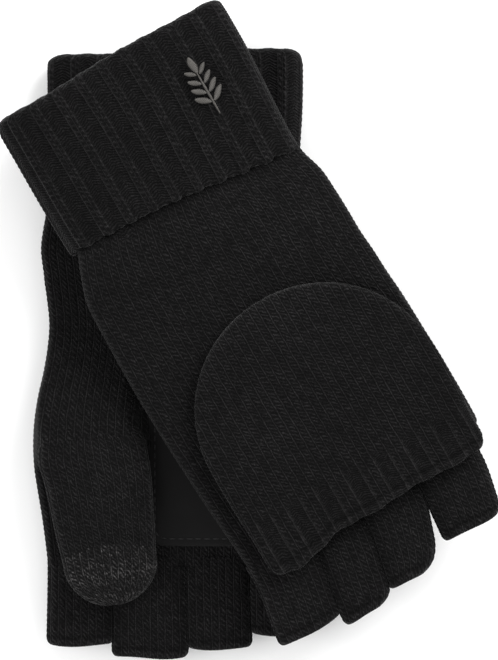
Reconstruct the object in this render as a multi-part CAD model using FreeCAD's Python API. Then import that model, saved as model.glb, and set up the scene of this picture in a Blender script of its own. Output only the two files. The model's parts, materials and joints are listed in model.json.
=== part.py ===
"""A pair of knitted convertible mittens, lying flat, one across the other.

Each mitten is a flat knitted tube: a ribbed cuff with a deep turn-up, a plain hand, four open half-finger
tubes, a full thumb with a touch-screen tip, a suede palm patch and a flip-top cap sewn across the knuckles.
The lower mitten lies palm up. The upper mitten lies palm down on it, turned by UPPER_TURN.
In both, the cap is folded back over the back of the hand and the thumb is folded over the palm.

A mitten is drawn in its own frame of three distances:
  w  across the hand, from the thumb side (negative) to the little-finger side
  s  along the hand, from the fold of the cuff towards the fingertips
  n  through the hand, from the back (negative) to the palm (positive)
The row frame is +Z up, with the origin at the middle of the pair's footprint, on the surface it lies on.
All lengths are in millimetres and all angles in degrees.
"""

import math
import os

import FreeCAD
import Part

# Fabric and clearances
WALL = 1.6  # knitted wall of the hand, cuff and cap
TUBE_WALL = 1.3  # knitted wall of the fingers and thumb
CLEAR = 0.3  # gap between pieces that move apart

# Levels through the hand
HAND_HALF = 4.0  # from the middle of the hand to its outer face
FINGER_HALF = 3.6
POCKET_GAP = 4.4  # inside the cap while it is folded back
CAP_BACK = (-HAND_HALF - CLEAR - WALL, -HAND_HALF - CLEAR)
CAP_FRONT = (CAP_BACK[0] - POCKET_GAP - WALL, CAP_BACK[0] - POCKET_GAP)
THUMB_LEVEL = (9.0, 16.0)  # leaves room under the thumb for the cap's front to close
PATCH_THICK = 0.8
STITCH_HIGH = 0.35
EMBLEM_THICK = 0.5

# Stations along the hand
CUFF_END = 62.0  # where the rib ends and the plain knit begins
HAND_END = 206.0  # the knuckle line: finger tubes begin and the cap is sewn on
CAP_TIP = 114.5
CAP_HEM = 195.0  # where the ribbed hem of the cap begins
CAP_MOUTH = 209.0
CAP_ROUND = 52.0  # length of the rounded end of the cap
FINGER_BASE = HAND_END + 2.0

# Across the hand
CUFF_HALF_WIDTH = 50.5
SEAM_RADIUS = 0.7
SOFT_EDGE = 2.6  # rounding along the sides of the hand and cuff
TUBE_EDGE = 2.2  # the same on the fingers and thumb

GUSSET_LONG = 24.0
TIP_OVERLAP = 1.5  # how far the conductive tip runs back past the start of the round end

# Palm patch, as (left, right, start, end)
PATCH = (-10.5, 44.0, 122.0, 199.0)
PATCH_CORNER = 7.0
STITCH_INSET = 3.0
STITCH_LONG = 2.4
STITCH_PITCH = 3.6
STITCH_WIDE = 0.5

# Emblem, a small leaf sprig
EMBLEM_AT = (28.5, 29.5)
EMBLEM_LONG = 26.0
LEAF_PAIRS = 4
LEAF = (4.2, 1.5)  # half length and half width of the largest leaf
LEAF_ANGLE = 35.0

# What differs between the two as they lie. sides are (s, left w, right w) down the hand. turnup_levels are
# the outer faces of the turn-up and turnup_ends where its edge crosses the two sides. cap is its middle and
# half width. Each finger is (w at its base, w at its end, s of its end, width). The thumb runs from the middle
# of its base, leaning towards the little finger. gusset is (left w, right w, s of its end).
MITTENS = {
    "lower": {
        "palm": 1,
        "sides": [(62, -48, 48), (67, -48.4, 48.4), (76, -51, 50.5), (110, -49.5, 52), (140, -54, 54), (158, -56, 55),
                  (184, -53, 54.5), (206, -50, 53.5)],
        "turnup_levels": (-11.3, 5.9),
        "turnup_ends": (63.0, 65.0),
        "cap": (1.5, 51.5),
        "fingers": {"index": (-37.5, -38.0, 238.2, 25.6), "middle": (-10.0, -9.4, 243.2, 28.4),
                    "ring": (17.8, 18.4, 239.6, 24.6), "little": (42.3, 42.6, 234.0, 21.6)},
        "thumb": {"base": (-32.5, 155.0), "half": 21.3, "tip_half": 18.0, "reach": 49.5, "lean": 8.0,
                  "round_base": False},
        "gusset": (-53.5, -12.0, 151.0),
    },
    "upper": {
        "palm": -1,
        "sides": [(62, -48, 47.8), (70, -51, 48.3), (78, -54, 51), (92, -55.5, 52.5), (124, -56, 54), (155, -55, 55.5),
                  (183, -53.5, 56), (206, -51.5, 55.5)],
        "turnup_levels": (-6.2, 12.8),
        "turnup_ends": (59.5, 68.0),
        "cap": (5.0, 51.0),
        "fingers": {"index": (-39.3, -43.4, 238.0, 26.6), "middle": (-14.6, -18.4, 243.2, 21.0),
                    "ring": (9.0, 4.0, 240.0, 22.0), "little": (38.0, 33.0, 234.3, 24.6)},
        "thumb": {"base": (-32.0, 158.0), "half": 20.0, "tip_half": 17.5, "reach": 46.0, "lean": 27.0,
                  "round_base": True},
        "gusset": (-52.0, -12.0, 137.0),
    },
}
FINGERS = ("index", "middle", "ring", "little")

# Where each mitten's own origin lies: x, y and the height of the middle of its hand
UPPER_TURN = 30.0
PLACES = {
    "lower": (-29.6, 110.9, -CAP_FRONT[0], 0.0),
    "upper": (-56.3, 107.1, 33.5, UPPER_TURN),
}

os.makedirs("parts", exist_ok=True)


class Mitten:
    """Draws solids in one mitten's own frame and places them in the row frame."""

    def __init__(self, name):
        self.name = name
        self.facts = MITTENS[name]
        self.palm = self.facts["palm"]
        x, y, z, turn = PLACES[name]
        self.place = FreeCAD.Placement(
            FreeCAD.Vector(x, y, z), FreeCAD.Rotation(FreeCAD.Vector(0, 0, 1), turn)
        )

    def point(self, w, s, n):
        """A point of the mitten's frame, before it is placed."""
        return FreeCAD.Vector(w, -s, self.palm * n)

    def world(self, w, s, n):
        """A point of the mitten's frame, in the row frame."""
        return self.place.multVec(self.point(w, s, n))

    def raise_face(self, edges, low, high):
        """The solid over an outline drawn at n = 0, from n = low to n = high."""
        face = Part.Face(Part.Wire(Part.__sortEdges__(edges)))
        face.translate(self.point(0, 0, low))
        return face.extrude(self.point(0, 0, high - low))

    def curve(self, points):
        """A smooth edge through (w, s) points."""
        if len(points) == 2:
            return Part.makeLine(self.point(*points[0], 0), self.point(*points[1], 0))
        line = Part.BSplineCurve()
        line.interpolate([self.point(w, s, 0) for w, s in points])
        return line.toShape()

    def slab(self, left, right, low, high, rounding=0.0):
        """A flat solid between two side lines of (w, s) points, its long edges rounded."""
        outline = [
            self.curve(left),
            self.curve([left[-1], right[-1]]),
            self.curve(right),
            self.curve([right[0], left[0]]),
        ]
        solid = self.raise_face(outline, low, high)
        if rounding:
            ends = {round(v.Y, 3) for v in solid.Vertexes}
            long_edges = [
                e for e in solid.Edges
                if abs(e.Vertexes[0].Z - e.Vertexes[-1].Z) < 1e-6
                and abs(e.Vertexes[0].Y - e.Vertexes[-1].Y) > 0.5 * (max(ends) - min(ends))
            ]
            solid = solid.makeFillet(rounding, long_edges)
        return solid

    def block(self, w, s, n):
        """A box over three ranges."""
        return self.slab([(w[0], s[0]), (w[0], s[1])], [(w[1], s[0]), (w[1], s[1])], *n)

    def flat_tube(self, left, right, half, wall, rounding, low=None, high=None):
        """An open-ended flat tube between two side lines."""
        low = -half if low is None else low
        high = half if high is None else high
        outer = self.slab(left, right, low, high, rounding)
        inner_left = [(w + wall, s) for w, s in stretched(left)]
        inner_right = [(w - wall, s) for w, s in stretched(right)]
        return outer.cut(self.slab(inner_left, inner_right, low + wall, high - wall))

    def write(self, node, shape):
        """Places a finished shape and writes it as one node."""
        shape = shape.copy()
        shape.Placement = self.place.multiply(shape.Placement)
        shape.exportStep(f"parts/{self.name}_{node}.step")


def stretched(line, by=3.0):
    """The same side line, run on past both ends."""
    (w0, s0), (w1, s1) = line[0], line[1]
    (w2, s2), (w3, s3) = line[-2], line[-1]
    first = (w0 - (w1 - w0) / (s1 - s0) * by, s0 - by)
    last = (w3 + (w3 - w2) / (s3 - s2) * by, s3 + by)
    return [first, *line, last]


def cuff_inner(m):
    """The rib's inner layer, inside the turn-up."""
    side = CUFF_HALF_WIDTH - WALL - CLEAR
    left, right = [(-side, WALL), (-side, CUFF_END)], [(side, WALL), (side, CUFF_END)]
    return m.flat_tube(left, right, HAND_HALF, WALL, SOFT_EDGE)


def cuff_turnup(m):
    """The turned-up outer layer, with the lip of the fold that joins it to the inner layer."""
    low, high = m.facts["turnup_levels"]
    end_left, end_right = m.facts["turnup_ends"]
    side = CUFF_HALF_WIDTH
    left, right = [(-side, 0), (-side, end_left)], [(side, 0), (side, end_right)]
    outer = m.slab(left, right, low, high, SOFT_EDGE)
    inside = side - WALL
    past = 3.0
    hollow = m.slab(
        [(-inside, WALL), (-inside, end_left + past)], [(inside, WALL), (inside, end_right + past)],
        low + WALL, high - WALL,
    )
    mouth = side - 2 * WALL - CLEAR
    opening = m.block((-mouth, mouth), (-past, past), (-HAND_HALF + WALL, HAND_HALF - WALL))
    return outer.cut(hollow).cut(opening)


def hand(m):
    """The plain-knit hand, open at the cuff and at the knuckles, with a hole where the thumb joins."""
    sides = m.facts["sides"]
    left = [(w, s) for s, w, _ in sides]
    right = [(w, s) for s, _, w in sides]
    tube = m.flat_tube(left, right, HAND_HALF, WALL, SOFT_EDGE)
    w0, w1, end = m.facts["gusset"]
    hole = m.block((w0 + 8, w1 - 6), (end - 18, end - 3), (0.5, HAND_HALF + 1))
    return tube.cut(hole)


def thumb_gusset(m):
    """The hollow ramp of extra knitting that lifts off the palm to the base of the thumb."""
    w0, w1, end = m.facts["gusset"]
    start = end - GUSSET_LONG
    top = THUMB_LEVEL[1]

    def section(w, s, n):
        corners = [m.point(w[i], s, n[j]) for i, j in ((0, 0), (1, 0), (1, 1), (0, 1), (0, 0))]
        return Part.makePolygon(corners)

    ramp = Part.makeLoft(
        [section((w0 + 5, w1 - 12), start, (HAND_HALF, HAND_HALF + 1.2)),
         section((w0, w1), end, (HAND_HALF, top))], True, True)
    hollow = Part.makeLoft(
        [section((w0 + 8, w1 - 15), start + 5, (HAND_HALF - 1, HAND_HALF + 1.0)),
         section((w0 + WALL, w1 - WALL), end + 1, (HAND_HALF - 1, top - WALL))], True, True)
    sill = m.block((w0, w1), (end - WALL, end), (HAND_HALF, THUMB_LEVEL[0] + TUBE_WALL))
    return ramp.cut(hollow).fuse(sill).removeSplitter()


def patch_outline(m, inset=0.0):
    """The patch's rounded rectangle as edges, drawn in by inset."""
    left, right, start, end = PATCH
    left, right, start, end = left + inset, right - inset, start + inset, end - inset
    r = PATCH_CORNER - inset
    k = r * (1 - math.sqrt(0.5))
    corners = [
        ((left, start + r), (left + k, start + k), (left + r, start)),
        ((right - r, start), (right - k, start + k), (right, start + r)),
        ((right, end - r), (right - k, end - k), (right - r, end)),
        ((left + r, end), (left + k, end - k), (left, end - r)),
    ]
    edges = []
    for i, (a, b, c) in enumerate(corners):
        edges.append(Part.Arc(m.point(*a, 0), m.point(*b, 0), m.point(*c, 0)).toShape())
        following = corners[(i + 1) % len(corners)][0]
        edges.append(Part.makeLine(m.point(*c, 0), m.point(*following, 0)))
    return edges


def palm_patch(m):
    """The suede patch on the palm."""
    return m.raise_face(patch_outline(m), HAND_HALF, HAND_HALF + PATCH_THICK)


def patch_stitching(m):
    """The line of stitches round the patch, each stitch a small bar on the suede."""
    top = HAND_HALF + PATCH_THICK
    stitches = []
    for edge in patch_outline(m, STITCH_INSET):
        count = max(1, round(edge.Length / STITCH_PITCH))
        for i in range(count):
            share = (i + 0.5) / count
            at = edge.FirstParameter + share * (edge.LastParameter - edge.FirstParameter)
            here, way = edge.valueAt(at), edge.tangentAt(at)
            bar = Part.makeBox(STITCH_LONG, STITCH_WIDE, STITCH_HIGH)
            bar.translate(FreeCAD.Vector(-STITCH_LONG / 2, -STITCH_WIDE / 2, 0))
            bar.rotate(FreeCAD.Vector(0, 0, 0), FreeCAD.Vector(0, 0, 1),
                       math.degrees(math.atan2(way.y, way.x)))
            low = m.palm * top if m.palm > 0 else m.palm * (top + STITCH_HIGH)
            bar.translate(FreeCAD.Vector(here.x, here.y, low))
            stitches.append(bar)
    return Part.makeCompound(stitches)


def cap_outline(m, inset=0.0, end=CAP_MOUTH):
    """The cap's round-ended outline as edges, closed straight across at end."""
    middle, half = m.facts["cap"]
    half, tip = half - inset, CAP_TIP + inset
    shoulder = CAP_TIP + CAP_ROUND
    left, right = middle - half, middle + half
    deep = shoulder - tip
    round_end = [(half * math.sin(math.radians(a)), deep * math.cos(math.radians(a)))
                 for a in range(-90, 91, 15)]
    edges = [m.curve([(middle + w, shoulder - d) for w, d in round_end])]
    edges.append(m.curve([(right, shoulder), (right, end)]))
    edges.append(m.curve([(right, end), (left, end)]))
    edges.append(m.curve([(left, end), (left, shoulder)]))
    return edges


def cap_back_panel(m):
    """The side of the cap that lies against the back of the hand, up to the sewn edge."""
    sewn = HAND_END - SEAM_RADIUS - CLEAR
    return m.raise_face(cap_outline(m, 0.0, sewn), *CAP_BACK)


def cap_front_panel(m):
    """The outer side of the folded cap, with the side wall that closes the pocket round its end."""
    panel = m.raise_face(cap_outline(m, 0.0, CAP_HEM), *CAP_FRONT)
    top = CAP_BACK[0] - CLEAR
    wall_end = HAND_END - 2.0
    ring = m.raise_face(cap_outline(m, 0.0, CAP_HEM), CAP_FRONT[1], top)
    hollow = m.raise_face(cap_outline(m, WALL, wall_end), CAP_FRONT[1] - 0.5, top + 0.5)
    return panel.fuse(ring.cut(hollow)).removeSplitter()


def cap_hem(m):
    """The ribbed hem along the cap's mouth, with the last of the side walls."""
    middle, half = m.facts["cap"]
    left, right = middle - half, middle + half
    band = m.block((left, right), (CAP_HEM, CAP_MOUTH), CAP_FRONT)
    top = CAP_BACK[0] - CLEAR
    for w in ((left, left + WALL), (right - WALL, right)):
        band = band.fuse(m.block(w, (CAP_HEM, HAND_END - 2.0), (CAP_FRONT[0], top)))
    return band.removeSplitter()


def cap_seam(m):
    """The linked seam across the knuckles, a round ridge on the axis that the cap turns about."""
    middle, half = m.facts["cap"]
    level = (CAP_BACK[0] + CAP_BACK[1]) / 2
    start = m.point(middle - half, HAND_END, level)
    return Part.makeCylinder(SEAM_RADIUS, 2 * half, start, FreeCAD.Vector(1, 0, 0))


def finger(m, name):
    """One open-ended half finger."""
    base_w, tip_w, end, width = m.facts["fingers"][name]
    half = width / 2
    left = [(base_w - half, FINGER_BASE), (tip_w - half, end)]
    right = [(base_w + half, FINGER_BASE), (tip_w + half, end)]
    return m.flat_tube(left, right, FINGER_HALF, TUBE_WALL, TUBE_EDGE)


def thumb_outline(m, inset=0.0, open_base=False):
    """The thumb's outline: a round or straight base, tapering sides and a round tip."""
    t = m.facts["thumb"]
    (pw, ps), base, tip, reach = t["base"], t["half"] - inset, t["tip_half"] - inset, t["reach"]
    lean = math.radians(t["lean"])

    def at(across, along):
        return m.point(
            pw + across * math.cos(lean) + along * math.sin(lean),
            ps - across * math.sin(lean) + along * math.cos(lean), 0)

    edges = [
        Part.makeLine(at(-base, 0), at(-tip, reach)),
        Part.Arc(at(-tip, reach), at(0, reach + tip), at(tip, reach)).toShape(),
        Part.makeLine(at(tip, reach), at(base, 0)),
    ]
    if open_base:
        back = -(base + 4)
        edges += [Part.makeLine(at(base, 0), at(base, back)), Part.makeLine(at(base, back), at(-base, back)),
                  Part.makeLine(at(-base, back), at(-base, 0))]
    elif t["round_base"]:
        edges.append(Part.Arc(at(base, 0), at(0, -base), at(-base, 0)).toShape())
    else:
        edges.append(Part.makeLine(at(base, 0), at(-base, 0)))
    return edges


def is_base_edge(m, edge):
    """Whether an edge lies on the straight, open base of the thumb, which isn't rounded."""
    t = m.facts["thumb"]
    lean = math.radians(t["lean"])
    base = m.point(*t["base"], 0)
    along = [(v.X - base.x) * math.sin(lean) - (v.Y - base.y) * math.cos(lean) for v in edge.Vertexes]
    return not t["round_base"] and max(along) < 1.0


def thumb_whole(m):
    """The whole hollow thumb, open at its base."""
    low, high = THUMB_LEVEL
    solid = m.raise_face(thumb_outline(m), low, high)
    rims = [e for e in solid.Edges
            if abs(e.Vertexes[0].Z - e.Vertexes[-1].Z) < 1e-6 and not is_base_edge(m, e)]
    solid = solid.makeFillet(TUBE_EDGE, rims)
    return solid.cut(m.raise_face(thumb_outline(m, TUBE_WALL, True), low + TUBE_WALL, high - TUBE_WALL))


def tip_region(m):
    """The block beyond the line where the conductive tip begins."""
    t = m.facts["thumb"]
    pw, ps = t["base"]
    start = ps + t["reach"] - TIP_OVERLAP
    box = m.block((pw - 60, pw + 60), (start, start + 60), (0, 30))
    box.rotate(m.point(pw, ps, 0), FreeCAD.Vector(0, 0, 1), t["lean"])
    return box


def leaf(m, w, s, long, wide, turn):
    """One pointed leaf of the emblem."""
    low, high = emblem_levels(m)
    ends = (-long, 0), (long, 0)
    edges = []
    for bulge in (-wide, wide):
        a, b, c = [
            m.point(w + u * math.cos(turn) - v * math.sin(turn), s + u * math.sin(turn) + v * math.cos(turn), 0)
            for u, v in (ends[0], (0, bulge), ends[1])
        ]
        edges.append(Part.Arc(a, b, c).toShape())
    return m.raise_face(edges, low, high)


def emblem_levels(m):
    """The emblem stands on the back face of the turn-up."""
    face = m.facts["turnup_levels"][0]
    return face - EMBLEM_THICK, face


def emblem(m):
    """A sprig: a slim stem with pairs of leaves and one leaf at its top."""
    w, s = EMBLEM_AT
    low, high = emblem_levels(m)
    stem = m.block((w - 0.4, w + 0.4), (s - EMBLEM_LONG * 0.30, s + EMBLEM_LONG / 2), (low, high))
    leaves = [leaf(m, w, s - EMBLEM_LONG / 2 + LEAF[0], LEAF[0], LEAF[1], math.pi / 2)]
    for i in range(LEAF_PAIRS):
        size = 0.75 + 0.25 * i / (LEAF_PAIRS - 1)
        along = s - EMBLEM_LONG * 0.16 + i * EMBLEM_LONG * 0.155
        for hand_side in (-1, 1):
            turn = math.radians(LEAF_ANGLE)
            long, wide = LEAF[0] * size, LEAF[1] * size
            out = 0.5 + long * math.cos(turn)
            angle = turn if hand_side < 0 else -turn
            leaves.append(leaf(m, w + hand_side * out, along - long * math.sin(turn), long, wide, angle))
    return Part.makeCompound([stem, *leaves])


def main():
    for name in MITTENS:
        m = Mitten(name)
        m.write("cuff_inner", cuff_inner(m))
        m.write("cuff_turnup", cuff_turnup(m))
        m.write("hand", hand(m))
        m.write("thumb_gusset", thumb_gusset(m))
        m.write("palm_patch", palm_patch(m))
        m.write("patch_stitching", patch_stitching(m))
        m.write("emblem", emblem(m))
        m.write("cap_seam", cap_seam(m))
        m.write("cap_back_panel", cap_back_panel(m))
        m.write("cap_front_panel", cap_front_panel(m))
        m.write("cap_hem", cap_hem(m))
        whole, beyond = thumb_whole(m), tip_region(m)
        m.write("thumb", whole.cut(beyond))
        m.write("thumb_tip", whole.common(beyond))
        for finger_name in FINGERS:
            m.write(f"{finger_name}_finger", finger(m, finger_name))


if __name__ == "__main__":
    main()
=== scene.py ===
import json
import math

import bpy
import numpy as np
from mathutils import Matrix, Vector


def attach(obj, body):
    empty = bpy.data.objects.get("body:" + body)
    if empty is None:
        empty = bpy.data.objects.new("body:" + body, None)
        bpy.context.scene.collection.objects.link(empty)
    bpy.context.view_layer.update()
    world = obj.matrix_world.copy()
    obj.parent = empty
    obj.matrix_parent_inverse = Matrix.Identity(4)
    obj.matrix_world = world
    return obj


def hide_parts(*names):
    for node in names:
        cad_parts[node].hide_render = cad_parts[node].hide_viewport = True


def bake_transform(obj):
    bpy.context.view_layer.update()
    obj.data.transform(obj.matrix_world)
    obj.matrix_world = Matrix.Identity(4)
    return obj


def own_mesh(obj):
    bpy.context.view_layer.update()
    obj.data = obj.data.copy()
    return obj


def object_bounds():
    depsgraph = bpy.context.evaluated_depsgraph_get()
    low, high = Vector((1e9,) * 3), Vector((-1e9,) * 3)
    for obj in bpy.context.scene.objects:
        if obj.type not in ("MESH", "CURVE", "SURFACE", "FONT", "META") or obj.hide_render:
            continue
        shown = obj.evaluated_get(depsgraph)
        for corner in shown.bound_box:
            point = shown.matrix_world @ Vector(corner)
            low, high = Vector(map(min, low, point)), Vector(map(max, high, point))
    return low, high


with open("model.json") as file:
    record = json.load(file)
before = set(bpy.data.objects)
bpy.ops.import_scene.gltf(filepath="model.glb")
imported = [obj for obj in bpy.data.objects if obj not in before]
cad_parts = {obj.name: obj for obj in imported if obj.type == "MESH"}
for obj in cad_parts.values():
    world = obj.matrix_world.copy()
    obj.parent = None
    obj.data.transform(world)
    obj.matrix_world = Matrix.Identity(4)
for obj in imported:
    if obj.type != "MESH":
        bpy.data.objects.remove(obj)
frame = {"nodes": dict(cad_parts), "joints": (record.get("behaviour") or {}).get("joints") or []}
cad_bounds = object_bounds()

# A pair of knitted convertible mittens, lying crossed: the lower one palm up, the upper one palm down.
# Every knitted piece is a flat tube of fabric with its stitches in relief. It is drawn in its own mitten's
# frame, in millimetres: w across the hand from the thumb side, s from the cuff's fold to the fingertips,
# and n through the hand from its back to its palm. Most sizes that the CAD model has are read from it.

MM = 0.001
FINGERS = ("index", "middle", "ring", "little")

# Knitting
WALE = 3.3  # width of one column of stitches
FINGER_WALE = 3.0
COURSE = 2.1  # height of one row of stitches
CAP_COURSE = 1.75
TIP_COURSE = 1.7
CUFF_COURSE = 2.4
SLANT = 1.5  # how far the strokes climb across one column, in rows
RIB_SLANT = 0.5  # the same in the narrow columns of the cuff
LINE_AT = 0.1  # where in a column the legs that join a line run
LINE_WIDE = 0.13
RIB = 10.4  # width of two knit and two purl columns
KNIT_SHARE = 0.36  # share of a rib's width that its raised knit columns take in the cuff
HEM_KNIT_SHARE = 0.6  # the same in the hem of the cap
STITCH_HIGH = 0.45
TIP_STITCH_HIGH = 0.495
RIB_HIGH = 0.9
RIB_STITCH_HIGH = 0.4
PURL_HIGH = 0.35
PURL_SLANT = 1.3
HEM_DEEP = 0.5
LIP_HIGH = 0.45  # how proud a rolled edge stands
LIP_CREASE = 0.35  # depth of the crease behind it
STEP = 0.5  # spacing of the mesh
FINE_STEP = 0.36  # the same along the turn-up, whose purl stitches are finer

# Hand and fingers
HAND_HIGH = 3.1  # from the middle of the hand to its face, without the stitches
FINGER_HIGH = 3.05
FINGER_WALL = 1.3
KNUCKLES = 206.0  # station of the knuckle line
GUSSET_RISE = 11.0  # how far the palm swells up into the thumb's base
FINGER_IN_HAND = 4.5  # how far a finger tube runs down into the hand
FINGER_INSIDE = 16.0  # how far down its opening its inner face goes
LIP_OUT = 0.9  # how far the fingers' soft lips reach past their CAD ends
FINGER_CORNER = 2.6  # rounding of the corners of the fingers' open ends
WORN_CORNERS = {"upper_middle": 9.0, "upper_ring": 10.5, "upper_little": 4.0}  # larger ones on the right

# Thumb
THUMB_ROUND = 17.5  # length of its rounded end
TIP_LONG = 20.5  # length of the tip in paler yarn
TIP_BOW = -3.0  # how far the line where the tip starts bows up the thumb

# Cap
CAP_WALL = 1.6
CAP_ROUND = 52.0  # length of the cap's rounded end
CAP_PUFF = 5.0  # how far in from its rounded end the cap reaches its full thickness
CAP_INSIDE = 40.0  # how far in from its mouth the cap's inner face goes
MOUTH_CORNER = 4.5  # rounding of the two corners of the cap's mouth
MOUTH_DROOP = 4.3  # how much further the thumb side of the mouth has stretched
HEM_START = 190.0  # station where the hem's rib starts

# Cuff
CUFF_WALL = 1.8
CUFF_CORNER = 3.5  # rounding of the cuff's corners, seen from above
CUFF_LEVELS = {"lower": (4.4, -9.0), "upper": (8.6, -4.9)}  # palm and back faces of the turn-up at its edge
CUFF_IN = {"lower": (2.6, -0.7), "upper": (-3.2, 4.2)}  # how far in from that they are at the fold
FOLD = {"lower": 5.2, "upper": 5.0}  # thickness of the fold
FOLD_TILT = {"lower": -1.6, "upper": 0.0}  # how far the fold slopes away from square, at one side

# Suede patch and its stitches, emblem and knuckle seam
PATCH_THICK = 0.95
PATCH_CORNER = 7.0
STITCH_INSET = 3.0
STITCH_LONG = 2.5
STITCH_PITCH = 3.5
LEAF_PAIRS = 4
LEAF_REACH = 6.6
LEAF_ANGLE = 38.0
THREAD_PITCH = 0.36  # from one thread of a leaf to the next
SEAM_PITCH = 1.9
SEAM_INSET = 2.0  # how far the seam's stitches stop short of its CAD ends

# Colours and tones, some of them painted light and shade
SHEEN = 0.08
FUZZ_SHEEN = 0.2  # painted sheen: how much paler the brushed wool is painted where it rolls round the side of a tube, as its fuzz catches the light
PAINTED_LIGHT_ACROSS = 0.1  # painted light and shade: how much darker the wool is painted on the thumb side and paler on the little-finger side
CUFF_TONE = 0.9
PAINTED_MOUTH_SHADE = -0.14  # painted shade: how much darker the cap is painted towards its mouth
CAP_TIP_FUZZ_AND_LIGHT = 0.3  # how much paler it is at its rounded end: partly its brushed fuzz, partly painted light
PAINTED_CREASE_SHADE = 0.65  # painted shade: how dark the hand is painted just past the cuff, under the turn-up's edge
PAINTED_GROOVE_SHADE = 0.68  # painted shade: how dark the fingers are painted where they lie side by side
RIB_TONE = 1.04  # how pale the raised columns of a rib are, against plain knit
PAINTED_PURL_SHADE = 0.8  # painted shade: how dark the sunk columns are painted, against the raised ones
PALE_YARN = (0.075, 0.072, 0.072)
# Each wool's deep, mid and light tones paint shade and light over its stitches: deep in the gaps, light on
# the yarn's tops
DARK_WOOL = ((0.0030, 0.0029, 0.0030), (0.0058, 0.0056, 0.0057), (0.0132, 0.0127, 0.0130))
TIP_TONES = ((0.0040, 0.0038, 0.0039), (0.0085, 0.0082, 0.0083), (0.0170, 0.0164, 0.0167))
SUEDE_TONES = ((0.0040, 0.0039, 0.0040), (0.0088, 0.0085, 0.0086))
PATCH_THREAD_TONES = ((0.008, 0.0078, 0.008), (0.026, 0.025, 0.026))
EMBLEM_TONES = ((0.042, 0.039, 0.036), (0.105, 0.1, 0.093))
SEAM_TONES = ((0.003, 0.003, 0.003), (0.013, 0.0124, 0.013))

# Camera
LOOK_AT = (0.8, -1.1)  # in millimetres
CAMERA_HIGH = 1.8  # in metres
FRAME_HEIGHT = 0.263  # what the picture takes in from top to bottom, in metres


def joint(name):
    return next(j for j in frame["joints"] if j["name"] == name)


def smoothstep(low, high, x):
    t = np.clip((x - low) / (high - low), 0, 1)
    return t * t * (3 - 2 * t)


def middle_of(values):
    return (values.min() + values.max()) / 2


def curve_through(*points):
    """A smooth function through (x, y) points, flat beyond its ends."""
    xs, ys = (np.array(v, float) for v in zip(*points))
    slopes = np.gradient(ys, xs)

    def at(x):
        x = np.clip(x, xs[0], xs[-1])
        i = np.clip(np.searchsorted(xs, x) - 1, 0, len(xs) - 2)
        h = xs[i + 1] - xs[i]
        t = (x - xs[i]) / h
        return (
            (2 * t**3 - 3 * t**2 + 1) * ys[i] + (t**3 - 2 * t**2 + t) * h * slopes[i]
            + (3 * t**2 - 2 * t**3) * ys[i + 1] + (t**3 - t**2) * h * slopes[i + 1]
        )

    return at


def level(value):
    """A function that is the same at every station."""
    return lambda s: np.full_like(np.asarray(s, float), value)


class Mitten:
    """One mitten's own frame, read from its joints and its cuff."""

    def __init__(self, name):
        self.name = name
        self.palm = 1 if name == "lower" else -1
        self.across = np.array(joint(name + "_cap_flip")["axis"]) * -self.palm
        self.along = np.array([self.across[1], -self.across[0], 0])
        self.through = np.array([0, 0, self.palm])
        cuff = self.vertices("cuff_turnup")
        w, s = cuff @ self.across, cuff @ self.along
        height = np.array([0, 0, joint(name + "_index_spread")["pos_m"][2]])
        self.origin = self.across * middle_of(w) + self.along * s.min() + height

    def vertices(self, node):
        return np.array([v.co for v in frame["nodes"][f"{self.name}_{node}"].data.vertices])

    def local(self, node):
        """w, s and n of a CAD node's vertices, in millimetres."""
        p = (self.vertices(node) - self.origin) / MM
        return p @ self.across, p @ self.along, p @ self.through

    def ends(self, node):
        """Where a CAD node starts and ends along the hand."""
        _, s, _ = self.local(node)
        return s.min(), s.max()

    def sides(self, node, station, reach=2.0):
        """The left and right edges of a CAD node near a station along the hand."""
        w, s, _ = self.local(node)
        near = np.abs(s - station) < reach
        return w[near].min(), w[near].max()

    def side_lines(self, node):
        """The left and right sides of a flat CAD tube, as functions of the station along the hand."""
        _, s, _ = self.local(node)
        stations = np.linspace(s.min(), s.max(), 2 + round((s.max() - s.min()) / 10))
        stations = [x for x in stations if np.any(np.abs(s - x) < 1.5)]
        edges = [self.sides(node, x, 1.5) for x in stations]
        return [curve_through(*((x, edge[side]) for x, edge in zip(stations, edges))) for side in (0, 1)]

    def world(self, w, s, n):
        w, s, n = (np.asarray(v, float)[..., None] * MM for v in np.broadcast_arrays(w, s, n))
        return self.origin + w * self.across + s * self.along + n * self.through

    def point(self, w, s, n):
        return tuple(self.world(w, s, n))


# Stitch patterns. A place is counted in columns (wale) and rows (course) of stitches. A pattern gives its
# relief in millimetres, its columns, its place in the rib, and how much it is ribbed.

def wave(turns):
    return 0.5 + 0.5 * np.cos(2 * np.pi * turns)


def zigzag(x):
    """1 at whole numbers and 0 halfway between them."""
    return np.abs(2 * (x % 1) - 1)


def plain_stitches(wale, course, slant=SLANT):
    """Columns of stitches, between 0 and 1: one leg of each joins a line, the other is a slanted stroke."""
    line = 1 - smoothstep(0.0, LINE_WIDE, np.abs((wale - LINE_AT + 0.5) % 1 - 0.5))
    leg = np.sin(np.pi * np.clip(((wale - LINE_AT) % 1 - 0.1) / 0.8, 0, 1)) ** 0.6
    return np.maximum(line * (0.7 + 0.3 * wave(course)), leg * (0.5 + 0.5 * wave(course - slant * wale)))


def purl_stitches(wale, course):
    """Slanted strokes that meet along the middle of each pair of columns, between 0 and 1."""
    return wave(2 * course - PURL_SLANT * zigzag(wale / 2))


def raised_share(rib):
    """1 on the raised knit columns of a rib and 0 between them."""
    off = np.abs((rib - KNIT_SHARE / 2 + 0.5) % 1 - 0.5)
    return 1 - smoothstep(KNIT_SHARE / 2 - 0.07, KNIT_SHARE / 2 + 0.07, off)


def plain_knit(wale, course, s):
    rib = np.full_like(wale, KNIT_SHARE / 2)
    return STITCH_HIGH * plain_stitches(wale, course), wale, rib, np.zeros_like(wale)


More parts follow.
